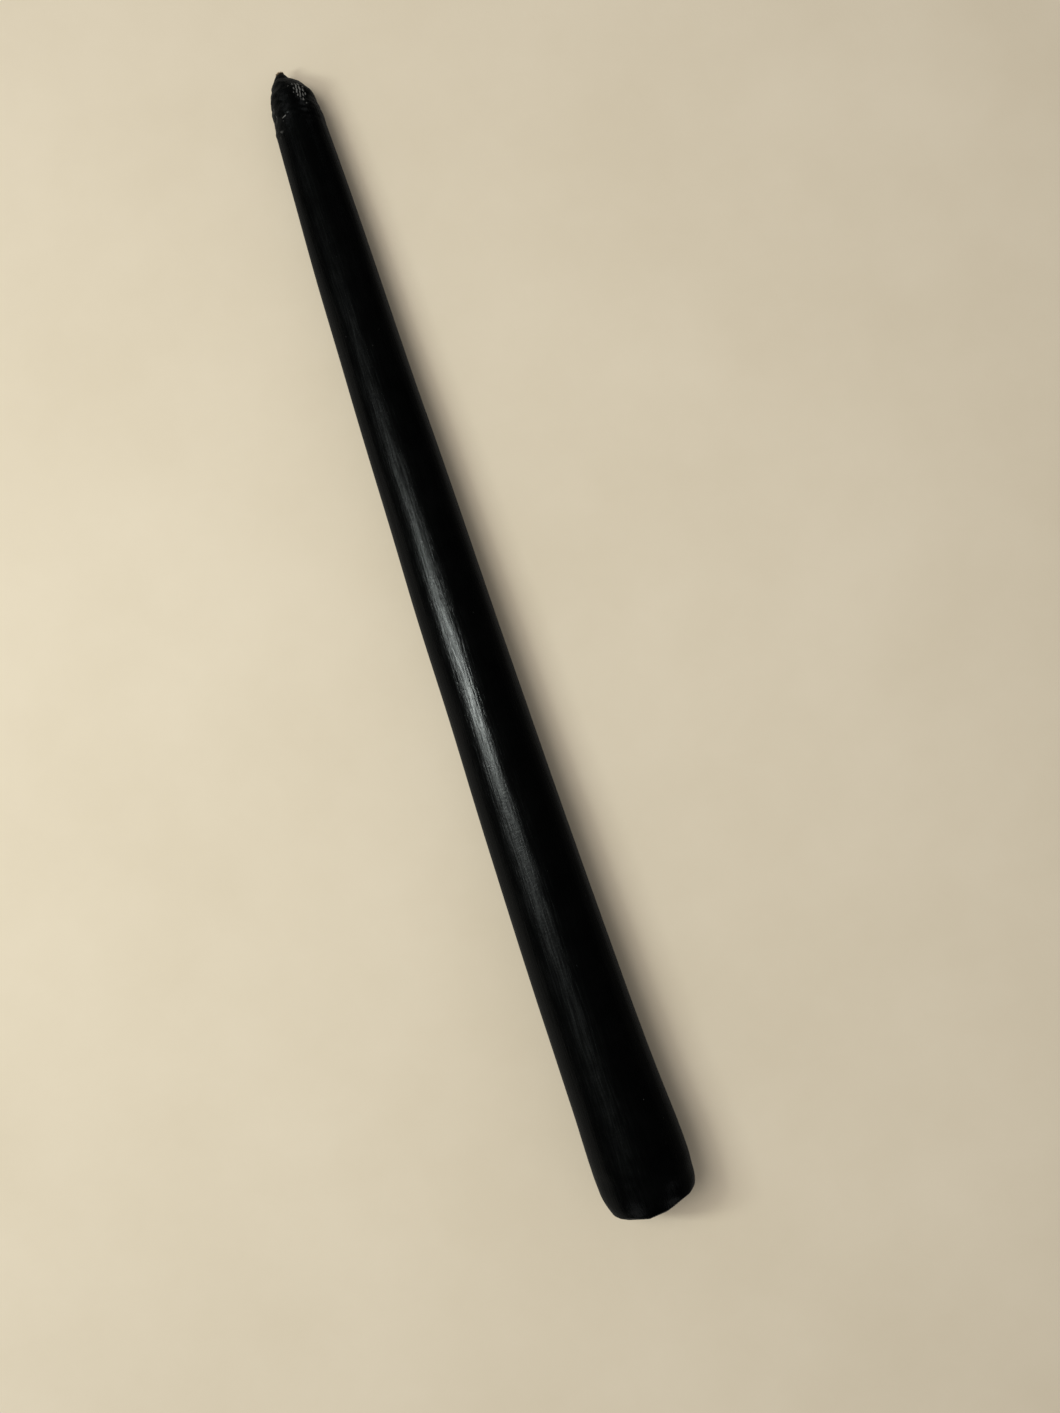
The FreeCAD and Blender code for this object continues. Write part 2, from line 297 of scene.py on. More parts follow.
# ---------------------------------------------------------------- the cut face of the butt
def cut_relief(across, up):
    """How far the knife-cut face stands proud: drag lines, and a ridge at each dip."""
    radius = np.hypot(across, up)
    angle = np.arctan2(up, across)
    along_cut = across * math.cos(0.5) + up * math.sin(0.5)
    drag = 0.018 * ripples(along_cut, 0 * angle, 1.1, 0, seed=31)
    wandering = radius + 0.12 * np.sin(3 * angle + 1)
    dips = 0.02 * np.sin(math.tau * wandering / DIP_SPACING)
    warp = 0.10 * np.sin(across / 6 + 0.7) * np.cos(up / 7)
    return drag + dips * fade(radius, SHEATH_RADIUS, 3.0) + warp


# ---------------------------------------------------------------- marks on the coat
# Chips that the knife left on the rim: angle round the candle in degrees, depth cut off,
# and how far the cut leans towards the end face, in degrees.
RIM_CHIPS = (
    (4, 1.45, 68), (40, 0.85, 63), (72, 0.2, 66), (166, 0.8, 60), (134, 0.55, 60),
    (-40, 0.6, 55), (-95, 0.35, 60), (214, 0.5, 50), (250, 0.25, 64),
)
# Scrapes on the nose, and painted highlight streaks: the four at 146 to 160 degrees, on the -X
# side, are painted highlights. Columns: depth, angle round the candle in degrees, length, width,
# slant in degrees and strength. A slant of 0 runs round the candle, and 90 along it.
SCRAPES_AND_HIGHLIGHTS = (
    (11.6, 119, 1.5, 0.24, 12, 1.0),
    (12.2, 123, 0.9, 0.13, 80, 0.7),
    (12.4, 101, 1.3, 0.18, 8, 0.35),
    (11.2, 148, 2.6, 0.20, 80, 0.8),
    (8.9, 152, 1.6, 0.26, 64, 0.8),
    (13.4, 160, 2.0, 0.16, 86, 0.7),
    (15.4, 146, 1.6, 0.12, 62, 0.6),
    (17.9, 38, 0.7, 0.16, 75, 0.6),
    (5.0, 86, 0.6, 0.12, 30, 0.8),
)
# The scuffed patch on the nose: its middle, and its reach each way along and round.
SCAR_DEPTH, SCAR_ANGLE = 6.85, 62
SCAR_LENGTH, SCAR_WIDTH = 2.7, 1.35
LIP_DEPTH = 14.2             # where the smooth overdip stops, below the handled nose


def nose_dents(depth, angle, radius):
    """Radial relief of the nose, and a mask from 0 to 1 of its scuffs and of painted highlights on
    the lip and the left side.
    """
    rough = 1 - fade(depth, 9, 17)
    relief = rough * 0.10 * ripples(depth, angle, 6.0, 4, seed=3)
    relief += rough * 0.035 * ripples(depth, angle, 1.7, 13, seed=4)

    lip = LIP_DEPTH + 0.8 * np.sin(angle + 0.6) + 0.35 * np.sin(3 * angle + 2)
    seen = 0.2 + 0.8 * fade(np.cos(angle_between(angle, 165)), -0.1, 0.8)
    above_lip = (1 - fade(depth, lip - 0.35, lip)) * fade(depth, 5, 8)
    relief -= 0.11 * seen * above_lip
    relief += 0.06 * seen * np.exp(-(((depth - lip - 0.25) / 0.3) ** 2))

    off_depth = (depth - SCAR_DEPTH) / SCAR_LENGTH
    off_side = angle_between(angle, SCAR_ANGLE) * radius / SCAR_WIDTH
    ragged = 0.16 * ripples(depth, angle, 1.3, 16, seed=8)
    scar = 1 - fade(np.hypot(off_depth, off_side) + ragged, 0.72, 1.1)
    strokes = ripples(depth, angle, 2.2, 52, seed=9, fewest_lobes=26)
    relief -= 0.10 * scar
    relief += 0.05 * scar * strokes

    scuff_and_highlight = scar * fade(strokes, -0.3, 0.9)
    broken = fade(ripples(depth, angle, 3.0, 18, seed=11), -0.2, 1.0)
    # Painted highlight: a thin light line along the lip's ridge, strongest where the nose faces
    # about 165 degrees.
    lip_highlight = 0.75 * broken * (seen - 0.2) * np.exp(-(((depth - lip) / 0.16) ** 2))
    scuff_and_highlight = np.maximum(scuff_and_highlight, lip_highlight)
    for where, turned, long, wide, slant, strength in SCRAPES_AND_HIGHLIGHTS:
        down = depth - where
        side = angle_between(angle, turned) * radius
        lean = math.radians(slant)
        run = down * math.sin(lean) + side * math.cos(lean)
        off = down * math.cos(lean) - side * math.sin(lean)
        inside = (1 - fade(abs(run), 0.35 * long, 0.5 * long)) * (1 - fade(abs(off), 0, wide))
        relief -= 0.05 * strength * inside
        # Each scrape lightens the mask; the four at 146 to 160 degrees are painted highlight
        # streaks.
        scuff_and_highlight = np.maximum(scuff_and_highlight, strength * inside)
    return relief, scuff_and_highlight


def coat_relief(depth, angle, radius):
    """Radial relief of the whole coat: slow waves, runs of wax, then the nose's marks.
    The number before each set of ripples is about how high they stand, in millimetres."""
    relief = 0.05 * ripples(depth, angle, 55.0, 3, seed=1)
    relief += 0.007 * ripples(depth, angle, 120.0, 22, seed=2, fewest_lobes=7)
    relief *= fade(depth, 2, 12)
    butt = fade(depth, LENGTH - 16, LENGTH - 6)
    relief += butt * 0.06 * ripples(depth, angle, 9.0, 6, seed=5)
    dents, scuff_and_highlight = nose_dents(depth, angle, radius)
    return relief + dents, scuff_and_highlight


def coat_stations():
    """(depth, radius, relief share) of each ring, from the nub's top to the cut face."""
    cap_radius = np.linspace(0.12, 1.0, 8)[:-1] * OUTLINE[0][1]
    cap_depth = OUTLINE[0][0] - NUB_DOME * np.cos(cap_radius / OUTLINE[0][1] * math.pi / 2)
    cap = np.stack([cap_depth, cap_radius, 0 * cap_radius], 1)
    depths = np.concatenate([
        np.arange(OUTLINE[0][0], NOSE_DETAIL, NOSE_STEP),
        np.arange(NOSE_DETAIL, LENGTH - BUTT_DETAIL, BODY_STEP),
        np.arange(LENGTH - BUTT_DETAIL, OUTLINE[-1][0], BUTT_STEP),
    ])
    side = np.stack([depths, outline(depths), fade(depths, 0.9, 2.2)], 1)
    turn = np.linspace(0, math.pi / 2, 12)
    rim_depth = OUTLINE[-1][0] + RIM_DEPTH * np.sin(turn)
    rim_radius = OUTLINE[-1][1] - RIM_ROUNDING * (1 - np.cos(turn))
    rim = np.stack([rim_depth, rim_radius, 1 - fade(turn, 0.5, 1.5)], 1)
    return np.concatenate([cap, side, rim])


def core_radius(depth):
    """The core's radius, one overdip inside the coat."""
    shrink = np.interp(depth, (CORE_TOP, 8.0), (1.0, COAT_THICKNESS))
    return np.maximum(outline(depth) - shrink, SHEATH_RADIUS + 0.2)


def core_wall_depths(top):
    """Depths of the rings where coat and core meet, from the butt up to the core's top."""
    return np.concatenate([
        [LENGTH - 0.2],
        np.linspace(LENGTH - 1, 12, 34),
        np.linspace(10, top, 9),
    ])


def chip_rim(across, up, depth):
    """Shave the rim with a few flat knife cuts."""
    rim = OUTLINE[-1][1] - RIM_ROUNDING / 3
    for turned, cut, lean in RIM_CHIPS:
        facing = math.radians(turned)
        tilt = math.radians(lean)
        flat = math.cos(tilt)
        normal = (math.cos(facing) * flat, math.sin(facing) * flat, math.sin(tilt))
        limit = rim * flat + (LENGTH - RIM_DEPTH / 3) * normal[2] - cut
        proud = across * normal[0] + up * normal[1] + depth * normal[2] - limit
        proud = np.maximum(proud, 0)
        across = across - proud * normal[0]
        up = up - proud * normal[1]
        depth = depth - proud * normal[2]
    return across, up, depth


def make_coat(material):
    """The glossy overdip: a thin closed shell, open only where the butt was cut."""
    angle = ring_angles()
    depth, radius, share = (column[:, None] + 0 * angle for column in coat_stations().T)
    relief, scuff_and_highlight = coat_relief(depth, angle, radius)
    spread = radius + relief * share
    across = bow_line(depth) + spread * np.cos(angle)
    up = spread * np.sin(angle)
    at_face = fade(depth, LENGTH - 0.4, LENGTH - 0.05)
    depth = depth - at_face * cut_relief(across, up)

    wall_depth = np.concatenate([[LENGTH], core_wall_depths(CORE_TOP + 0.05)])
    wall_radius = core_radius(wall_depth)
    inner_depth = wall_depth[:, None] + 0 * angle
    inner_across = bow_line(inner_depth) + wall_radius[:, None] * np.cos(angle)
    inner_up = wall_radius[:, None] * np.sin(angle)
    inner_depth[0] -= cut_relief(inner_across[0], inner_up[0])
    rings = np.concatenate([
        to_world(*chip_rim(across, up, depth)),
        to_world(*chip_rim(inner_across, inner_up, inner_depth)),
    ])
    rings[..., 2] = np.maximum(rings[..., 2], float(cad_box[0].z))
    poles = (pole_at(OUTLINE[0][0] - NUB_DOME, 0.0), pole_at(CORE_TOP, CORE_TOP))
    mesh = rings_to_mesh("dipped_coat", rings, poles)
    # The mask holds scuffs and painted highlights, for the material to lighten.
    paint(mesh, "scuff_and_highlight", scuff_and_highlight)
    return add_piece("dipped_coat", mesh, material)


def make_core(material):
    """The core of many dips: a cut face at the butt, and a hole down it for the wick."""
    angle = ring_angles()
    face_radius = np.linspace(SHEATH_RADIUS, float(core_radius(LENGTH)) - CORE_GAP, 70)
    wall_depth = core_wall_depths(CORE_TOP + 0.1)
    bore_depth = np.linspace(CORE_TOP + 0.1, LENGTH - 0.2, 24)
    depth = np.concatenate([np.full(len(face_radius), LENGTH), wall_depth, bore_depth])
    radius = np.concatenate([
        face_radius,
        core_radius(wall_depth) - CORE_GAP,
        np.full(len(bore_depth), SHEATH_RADIUS),
    ])
    depth = depth[:, None] + 0 * angle
    across = bow_line(depth) + radius[:, None] * np.cos(angle)
    up = radius[:, None] * np.sin(angle)
    faces = len(face_radius)
    depth[:faces] -= cut_relief(across[:faces], up[:faces])
    rings = to_world(*chip_rim(across, up, depth))
    mesh = rings_to_mesh("core_of_dips", rings[::-1], closed=True)
    return add_piece("core_of_dips", mesh, material)


def make_sheath(material):
    """Pale wax round the wick: a tube, closed at the butt where wax fills round the plaits."""
    angle = ring_angles(SHEATH_AROUND)
    outer = SHEATH_RADIUS - SHEATH_GAP
    bore_depth = np.linspace(LENGTH - BUTT_PLUG, CORE_TOP, 60)
    wall_depth = np.linspace(CORE_TOP, LENGTH - 0.3, 60)
    face_radius = np.linspace(outer, 0.2, 12)
    depth = np.concatenate([bore_depth, wall_depth, np.full(len(face_radius), LENGTH)])
    radius = np.concatenate([
        np.full(len(bore_depth), WICK_BORE),
        np.full(len(wall_depth), outer),
        face_radius,
    ])
    depth = depth[:, None] + 0 * angle
    across = bow_line(depth) + radius[:, None] * np.cos(angle)
    up = radius[:, None] * np.sin(angle)
    first = len(depth) - len(face_radius)
    depth[first:] -= cut_relief(across[first:], up[first:]) + 0.03
    poles = (
        pole_at(LENGTH - BUTT_PLUG, LENGTH - BUTT_PLUG),
        pole_at(LENGTH - 0.1, LENGTH),
    )
    mesh = rings_to_mesh("primed_sheath", to_world(across, up, depth), poles)
    return add_piece("primed_sheath", mesh, material)


# ---------------------------------------------------------------- node trees
class Wiring:
    """Adds nodes to a tree. Every input takes a plain value or another node's output."""

    def __init__(self, tree):
        self.tree = tree

    def add(self, kind, inputs=(), **settings):
        node = self.tree.nodes.new(kind)
        for name, value in settings.items():
            setattr(node, name, value)
        for key, value in dict(inputs).items():
            if isinstance(value, bpy.types.NodeSocket):
                self.tree.links.new(value, node.inputs[key])
            else:
                node.inputs[key].default_value = value
        return node

    def math(self, operation, *values):
        return self.add("ShaderNodeMath", enumerate(values), operation=operation).outputs[0]

    def vector(self, operation, *values):
        return self.add("ShaderNodeVectorMath", enumerate(values), operation=operation).outputs[0]

    def scaled(self, vector, scale):
        inputs = {0: vector, "Scale": scale}
        return self.add("ShaderNodeVectorMath", inputs, operation="SCALE").outputs[0]

    def noise(self, vector, scale, detail=2.0, roughness=0.5):
        inputs = {"Vector": vector, "Scale": scale, "Detail": detail, "Roughness": roughness}
        return self.add("ShaderNodeTexNoise", inputs).outputs[0]

    def remap(self, value, low, high, new_low=0.0, new_high=1.0):
        inputs = dict(enumerate((value, low, high, new_low, new_high)))
        return self.add("ShaderNodeMapRange", inputs).outputs[0]

    def blend(self, share, first, second):
        node = self.add("ShaderNodeMix", {0: share, 6: first, 7: second}, data_type="RGBA")
        return node.outputs[2]

    def group(self, tree, inputs):
        return self.add("ShaderNodeGroup", inputs, node_tree=tree).outputs[0]


def node_group(kind, name, inputs, output):
    """A node group with its named sockets; returns it, its wiring, and both end nodes."""
    tree = bpy.data.node_groups.new(name, kind)
    for socket, of_type, default in inputs:
        made = tree.interface.new_socket(socket, in_out="INPUT", socket_type=of_type)
        if default is not None:
            made.default_value = default
    tree.interface.new_socket(output[0], in_out="OUTPUT", socket_type=output[1])
    given = tree.nodes.new("NodeGroupInput")
    result = tree.nodes.new("NodeGroupOutput")
    return tree, Wiring(tree), given, result


def make_grain_group():
    """Uneven grain drawn out along the candle or round it, as a value from 0 to 1."""
    tree, wire, given, result = node_group("ShaderNodeTree", "Drawn-out grain", (
        ("Position", "NodeSocketVector", None),
        ("Width", "NodeSocketFloat", 0.4),
        ("Length", "NodeSocketFloat", 20.0),
    ), ("Grain", "NodeSocketFloat"))
    across = wire.math("DIVIDE", 1.0, given.outputs["Width"])
    along = wire.math("DIVIDE", 1.0, given.outputs["Length"])
    stretch = wire.add("ShaderNodeCombineXYZ", {0: across, 1: along, 2: across}).outputs[0]
    stretched = wire.vector("MULTIPLY", given.outputs["Position"], stretch)
    lines = wire.remap(wire.noise(stretched, 1.0, 3.0, 0.6), 0.3, 0.7)
    tree.links.new(lines, result.inputs[0])
    return tree


def make_specks_group():
    """Scattered round specks as a mask: dust, bloom or pits."""
    tree, wire, given, result = node_group("ShaderNodeTree", "Scattered specks", (
        ("Position", "NodeSocketVector", None),
        ("Spacing", "NodeSocketFloat", 1.0),
        ("Size", "NodeSocketFloat", 0.1),
        ("Share", "NodeSocketFloat", 0.3),
    ), ("Specks", "NodeSocketFloat"))
    wobble = wire.noise(given.outputs["Position"], 6.0, 1.0)
    scale = wire.math("DIVIDE", 1.0, given.outputs["Spacing"])
    cells = wire.add("ShaderNodeTexVoronoi", {
        "Vector": given.outputs["Position"], "Scale": scale})
    distance = wire.math("MULTIPLY", cells.outputs["Distance"], given.outputs["Spacing"])
    distance = wire.math("MULTIPLY", distance, wire.remap(wobble, 0.2, 0.8, 0.5, 1.6))
    core = wire.math("MULTIPLY", given.outputs["Size"], 0.5)
    spot = wire.remap(distance, core, given.outputs["Size"], 1.0, 0.0)
    chance = wire.add("ShaderNodeSeparateColor", {0: cells.outputs["Color"]}).outputs[0]
    kept = wire.math("LESS_THAN", chance, given.outputs["Share"])
    tree.links.new(wire.math("MULTIPLY", spot, kept), result.inputs[0])
    return tree


def make_haze_group():
    """Cloudy patches, large and small together, as a value from 0 to 1."""
    tree, wire, given, result = node_group("ShaderNodeTree", "Cloudy haze", (
        ("Position", "NodeSocketVector", None),
        ("Size", "NodeSocketFloat", 10.0),
    ), ("Haze", "NodeSocketFloat"))
    scale = wire.math("DIVIDE", 1.0, given.outputs["Size"])
    cloud = wire.noise(given.outputs["Position"], scale, 5.0, 0.62)
    tree.links.new(wire.remap(cloud, 0.35, 0.68), result.inputs[0])
    return tree


GRAIN = make_grain_group()
SPECKS = make_specks_group()
HAZE = make_haze_group()


def new_material(name):
    """A material with its wiring, its surface and the place on the piece in millimetres."""
    material = bpy.data.materials.new(name)
    material.use_nodes = True
    wire = Wiring(material.node_tree)
    surface = material.node_tree.nodes["Principled BSDF"]
    place = wire.add("ShaderNodeTexCoord").outputs["Object"]
    return material, wire, surface, wire.scaled(place, 1 / MM)


def depth_of(wire, place):
    """The depth below the wick's end, for a material."""
    along = wire.add("ShaderNodeSeparateXYZ", {0: place}).outputs[1]
    return wire.math("SUBTRACT", WICK_END / MM, along)


def connect(wire, surface, colour, roughness, height, bump):
    """Link what was built to the surface. A height of 1 stands bump millimetres high."""
    relief = wire.add("ShaderNodeBump", {"Height": height, "Distance": bump * MM}).outputs[0]
    for name, value in (("Base Color", colour), ("Roughness", roughness), ("Normal", relief)):
        wire.tree.links.new(value, surface.inputs[name])


def make_black_wax():
    """Glossy black wax, rubbed along its length and scuffed at the nose, with painted highlights
    on the nose's lip and left side.
    """
    material, wire, surface, place = new_material("black_wax")
    depth = depth_of(wire, place)
    nose = wire.remap(depth, 8.0, 17.0, 1.0, 0.0)
    butt = wire.remap(depth, LENGTH - 50, LENGTH - 5)
    scuff_and_highlight = wire.add("ShaderNodeAttribute", attribute_name="scuff_and_highlight").outputs["Fac"]
    fine = wire.group(GRAIN, {"Position": place, "Width": 0.42, "Length": 7.0})
    broad = wire.group(GRAIN, {"Position": place, "Width": 1.1, "Length": 45.0})
    wrinkles = wire.group(GRAIN, {"Position": place, "Width": 0.9, "Length": 0.5})
    haze = wire.group(HAZE, {"Position": place, "Size": 7.0})
    dust = wire.group(SPECKS, {"Position": place, "Spacing": 2.6, "Size": 0.11, "Share": 0.16})
    pits = wire.group(SPECKS, {"Position": place, "Spacing": 5.5, "Size": 0.3, "Share": 0.3})
    grain = wire.noise(place, 5.0, 4.0, 0.6)
    worn = wire.math("MULTIPLY", nose, haze)

    grey = wire.blend(haze, WAX_BLACK, WAX_HAZED)
    grey = wire.blend(wire.math("MULTIPLY", worn, 0.25), grey, WAX_WORN)
    # Scuffs and painted highlights: the mask turns the wax pale grey and rough.
    ragged = wire.remap(wire.math("MULTIPLY_ADD", grain, 0.9, scuff_and_highlight), 0.75, 1.25)
    grey = wire.blend(wire.math("MULTIPLY", ragged, 0.8), grey, WAX_SCUFF_AND_HIGHLIGHT)
    specks = wire.math("MULTIPLY", dust, wire.remap(butt, 0.0, 1.0, 0.35, 0.8))
    colour = wire.blend(specks, grey, DUST)

    rough = wire.math("MULTIPLY_ADD", fine, 0.17, 0.115)
    rough = wire.math("MULTIPLY_ADD", broad, 0.06, rough)
    rough = wire.math("MULTIPLY_ADD", haze, 0.04, rough)
    rough = wire.math("MULTIPLY_ADD", worn, 0.05, rough)
    rough = wire.math("MAXIMUM", rough, wire.math("MULTIPLY", ragged, 0.75))

    height = wire.math("MULTIPLY", fine, 0.50)
    height = wire.math("MULTIPLY_ADD", broad, 0.26, height)
    height = wire.math("MULTIPLY_ADD", wrinkles, 0.18, height)
    height = wire.math("MULTIPLY_ADD", wire.math("MULTIPLY", grain, nose), 0.35, height)
    height = wire.math("MULTIPLY_ADD", pits, -0.9, height)
    connect(wire, surface, colour, rough, height, bump=0.05)
    surface.inputs["IOR"].default_value = 1.44
    surface.inputs["Specular IOR Level"].default_value = 0.45
    surface.inputs["Coat Weight"].default_value = 0.12
    surface.inputs["Coat IOR"].default_value = 1.44
    surface.inputs["Coat Roughness"].default_value = 0.44
    return material


def make_core_wax():
    """Duller black wax of the core, with a ring for each dip where it is cut."""
    material, wire, surface, place = new_material("core_wax")
    centre = BUTT_CENTRE / MM
    from_axis = wire.vector("SUBTRACT", place, (centre.x, 0, centre.z))
    flat = wire.vector("MULTIPLY", from_axis, (1, 0, 1))
    radius = wire.add("ShaderNodeVectorMath", {0: flat}, operation="LENGTH").outputs["Value"]
    haze = wire.group(HAZE, {"Position": place, "Size": 2.5})
    fine = wire.group(GRAIN, {"Position": place, "Width": 0.3, "Length": 9.0})
    crumbs = wire.group(SPECKS, {"Position": place, "Spacing": 1.1, "Size": 0.10, "Share": 0.3})
    wander = wire.math("MULTIPLY_ADD", wire.noise(place, 0.35, 2.0), 1.6, radius)
    dips = wire.math("SINE", wire.math("MULTIPLY", wander, math.tau / DIP_SPACING))
    rings = wire.remap(dips, 0.55, 1.0)
    colour = wire.blend(wire.math("MULTIPLY", rings, 0.7), CORE_BLACK, CORE_RING)
    colour = wire.blend(wire.math("MULTIPLY", haze, 0.5), colour, CORE_HAZED)
    colour = wire.blend(wire.math("MULTIPLY", crumbs, 0.5), colour, WAX_CRUMB)
    rough = wire.math("MULTIPLY_ADD", haze, 0.2, 0.42)
    rough = wire.math("MULTIPLY_ADD", fine, 0.08, rough)
    height = wire.math("MULTIPLY_ADD", haze, 0.5, wire.math("MULTIPLY", rings, 0.6))
    height = wire.math("MULTIPLY_ADD", crumbs, 0.5, height)
    connect(wire, surface, colour, rough, height, bump=0.04)
    return material


def make_primed_wax():
    """Undyed, slightly yellow wax that the wick was primed with."""
    material, wire, surface, place = new_material("primed_wax")
    haze = wire.group(HAZE, {"Position": place, "Size": 1.6})
    soot = wire.group(SPECKS, {"Position": place, "Spacing": 0.7, "Size": 0.09, "Share": 0.3})
    lines = wire.group(GRAIN, {"Position": place, "Width": 0.25, "Length": 6.0})
    colour = wire.blend(haze, PRIMED_WAX_DEEP, PRIMED_WAX_PALE)
    smear = wire.remap(wire.noise(place, 1.1, 3.0), 0.5, 0.75, 0.0, 0.5)
    colour = wire.blend(wire.math("MAXIMUM", soot, smear), colour, BLACK_SMEAR)
    rough = wire.math("MULTIPLY_ADD", lines, 0.15, 0.38)
    height = wire.math("MULTIPLY_ADD", haze, 0.6, wire.math("MULTIPLY", lines, 0.4))
    connect(wire, surface, colour, rough, height, bump=0.04)
    surface.inputs["Subsurface Weight"].default_value = 0.4
    surface.inputs["Subsurface Radius"].default_value = (1.0, 0.7, 0.45)
    surface.inputs["Subsurface Scale"].default_value = 0.6 * MM
    return material


def make_wick_cotton():
    """Cotton yarn, cream in the candle and blackened with wax at the nose."""
    material, wire, surface, place = new_material("wick_cotton")
    depth = depth_of(wire, place)
    along = wire.add("ShaderNodeAttribute", attribute_name="along").outputs["Fac"]
    fibres = wire.noise(place, 14.0, 4.0, 0.7)
    bands = wire.noise(wire.add("ShaderNodeCombineXYZ", {0: along}).outputs[0], 900.0, 2.0)
    haze = wire.group(HAZE, {"Position": place, "Size": 0.9})
    shade = wire.math("MULTIPLY_ADD", bands, 0.4, wire.math("MULTIPLY", fibres, 0.6))
    cotton = wire.blend(wire.remap(shade, 0.35, 0.65), COTTON_SHADE, COTTON_CREAM)
    dyed = wire.blend(wire.remap(shade, 0.45, 0.7), WAXED_YARN, WAXED_FIBRE)
    frayed = wire.remap(wire.math("MULTIPLY_ADD", haze, -0.3, depth), -0.25, 0.15, 1.0, 0.0)
    dyed = wire.blend(wire.math("MULTIPLY", frayed, 0.9), dyed, FRAYED_TAN)
    in_wax = wire.remap(depth, CORE_TOP, CORE_TOP + 1.5, 1.0, 0.0)
    colour = wire.blend(in_wax, cotton, dyed)
    rough = wire.remap(fibres, 0.3, 0.7, 0.55, 0.85)
    connect(wire, surface, colour, rough, fibres, bump=0.03)
    return material


def make_table_top():
    """Plain pale card under the candle. The wax mirrors a dimmer card than the eye sees: painted
    shade that only reflections show, darker still towards +X.
    """
    material, wire, surface, place = new_material("pale_card")
    haze = wire.group(HAZE, {"Position": place, "Size": 60.0})
    grain = wire.noise(place, 1.3, 3.0, 0.6)
    colour = wire.blend(haze, CARD_DEEP, CARD_PALE)
    across = wire.add("ShaderNodeSeparateXYZ", {0: place}).outputs[0]
    side = wire.remap(across, CARD_SHADE_FROM, CARD_SHADE_TO)
    reflected_shade = wire.blend(side, CARD_REFLECTED_SHADE_NEAR, CARD_REFLECTED_SHADE_FAR)
    mirrored = wire.add("ShaderNodeLightPath").outputs["Is Glossy Ray"]
    # Painted shade: glossy rays see the darker card.
    colour = wire.blend(mirrored, colour, reflected_shade)
    rough = wire.remap(grain, 0.3, 0.7, 0.75, 0.9)
    connect(wire, surface, colour, rough, grain, bump=0.02)
    surface.inputs["Specular IOR Level"].default_value = 0.2
    return material


# ---------------------------------------------------------------- the wick, by geometry nodes
def make_yarn_tree():
    """Yarns twisted round each other along a line of edges."""
    tree, wire, given, result = node_group("GeometryNodeTree", "Twisted yarns", (
        ("Line", "NodeSocketGeometry", None),
        ("Yarns", "NodeSocketInt", 4),
        ("Yarn Radius", "NodeSocketFloat", 0.0001),
        ("Offset", "NodeSocketFloat", 0.0001),
        ("Lay", "NodeSocketFloat", 0.003),
        ("Unevenness", "NodeSocketFloat", 0.00003),
        ("Material", "NodeSocketMaterial", None),
    ), ("Yarns", "NodeSocketGeometry"))
    curve = wire.add("GeometryNodeMeshToCurve", {0: given.outputs["Line"]}).outputs[0]
    copies = wire.add("GeometryNodeDuplicateElements", {
        "Geometry": curve, "Amount": given.outputs["Yarns"]}, domain="SPLINE")
    length = wire.add("GeometryNodeSplineParameter").outputs["Length"]
    share = wire.math("DIVIDE", copies.outputs["Duplicate Index"], given.outputs["Yarns"])
    turns = wire.math("ADD", wire.math("DIVIDE", length, given.outputs["Lay"]), share)
    turn = wire.math("MULTIPLY", turns, math.tau)
    normal = wire.add("GeometryNodeInputNormal").outputs[0]
    tangent = wire.add("GeometryNodeInputTangent").outputs[0]
    sideways = wire.vector("CROSS_PRODUCT", tangent, normal)
    ring = wire.vector(
        "ADD", wire.scaled(normal, wire.math("COSINE", turn)),
        wire.scaled(sideways, wire.math("SINE", turn)))
    place = wire.add("GeometryNodeInputPosition").outputs[0]
    loose = wire.remap(wire.noise(place, 700.0, 1.0), 0.3, 0.7, 0.85, 1.1)
    shift = wire.scaled(ring, wire.math("MULTIPLY", given.outputs["Offset"], loose))
    twisted = wire.add("GeometryNodeSetPosition", {
        "Geometry": copies.outputs["Geometry"], "Offset": shift}).outputs[0]
    marked = wire.add("GeometryNodeStoreNamedAttribute", {
        "Geometry": twisted, "Name": "along", "Value": length}, data_type="FLOAT", domain="POINT")
    profile = wire.add("GeometryNodeCurvePrimitiveCircle", {
        "Resolution": 8, "Radius": given.outputs["Yarn Radius"]}).outputs[0]
    yarn = wire.add("GeometryNodeCurveToMesh", {
        "Curve": marked.outputs[0], "Profile Curve": profile, "Fill Caps": True}).outputs[0]
    lumps = wire.remap(wire.noise(place, 6000.0, 2.0), 0.3, 0.7, -0.5, 0.5)
    swell = wire.scaled(normal, wire.math("MULTIPLY", lumps, given.outputs["Unevenness"]))
    uneven = wire.add("GeometryNodeSetPosition", {"Geometry": yarn, "Offset": swell}).outputs[0]
    plain = wire.add("GeometryNodeRealizeInstances", {"Geometry": uneven}).outputs[0]
    painted = wire.add("GeometryNodeSetMaterial", {
        "Geometry": plain, "Material": given.outputs["Material"]}).outputs[0]
    tree.links.new(painted, result.inputs[0])
    return tree


